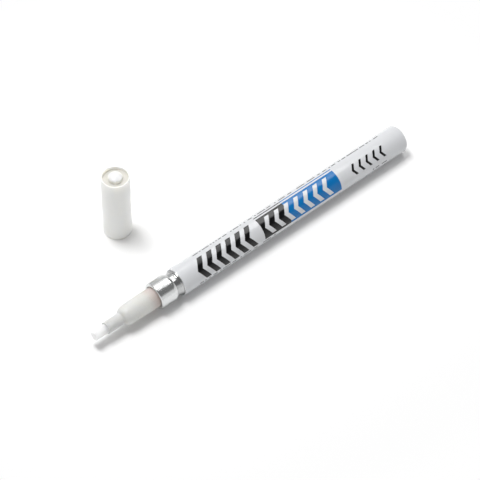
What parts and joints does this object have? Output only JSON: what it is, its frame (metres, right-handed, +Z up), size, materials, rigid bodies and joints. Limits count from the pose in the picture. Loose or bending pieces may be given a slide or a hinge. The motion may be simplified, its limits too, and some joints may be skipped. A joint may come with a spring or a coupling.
{
  "type": "paint marker",
  "caption": "Fine paint marker with a white metal barrel, bare collar, clear nose and sprung nib valve, lying beside its standing cap.",
  "frame": {"origin": "on the surface that marker and cap stand on, under the middle of the box round both", "axes": "+X along the marker from the nib to the closed end, +Y from the marker towards the cap, +Z up"},
  "size_m": [0.1426, 0.0464, 0.0288],
  "materials": {
    "white_lacquer": "gloss",
    "bare_aluminium": "polished",
    "black_rubber": "matte",
    "clear_plastic": "satin",
    "nib_fibre": "matte",
    "ball_steel": "polished",
    "valve_plastic": "satin",
    "spring_steel": "satin",
    "cap_plastic": "satin",
    "liner_plastic": "satin"
  },
  "bodies": {
    "barrel": {"barrel": "white_lacquer", "front_ferrule": "bare_aluminium", "barrel_seal": "black_rubber", "holder_gasket": "black_rubber", "tip_holder": "clear_plastic", "valve_seat": "black_rubber", "valve_case": "valve_plastic", "valve_spring": "spring_steel"},
    "nib_plunger": {"nib": "nib_fibre", "valve_rod": "valve_plastic"},
    "mixing_ball": {"mixing_ball": "ball_steel"},
    "cap": {"cap_shell": "cap_plastic", "cap_liner": "liner_plastic"}
  },
  "joints": [
    {"name": "nib_press", "type": "slide", "parent": "barrel", "child": "nib_plunger", "axis": [1, 0, 0], "range_m": [0, 0.0015], "stiffness_N_per_m": 500, "springref_m": -0.002, "deforming": ["valve_spring"]},
    {"name": "ball_roll", "type": "slide", "parent": "barrel", "child": "mixing_ball", "axis": [1, 0, 0], "range_m": [-0.044, 0.0425]},
    {"name": "cap_lift", "type": "slide", "parent": "barrel", "child": "cap", "axis": [0, 0, 1], "range_m": [0, 0.04]}
  ]
}
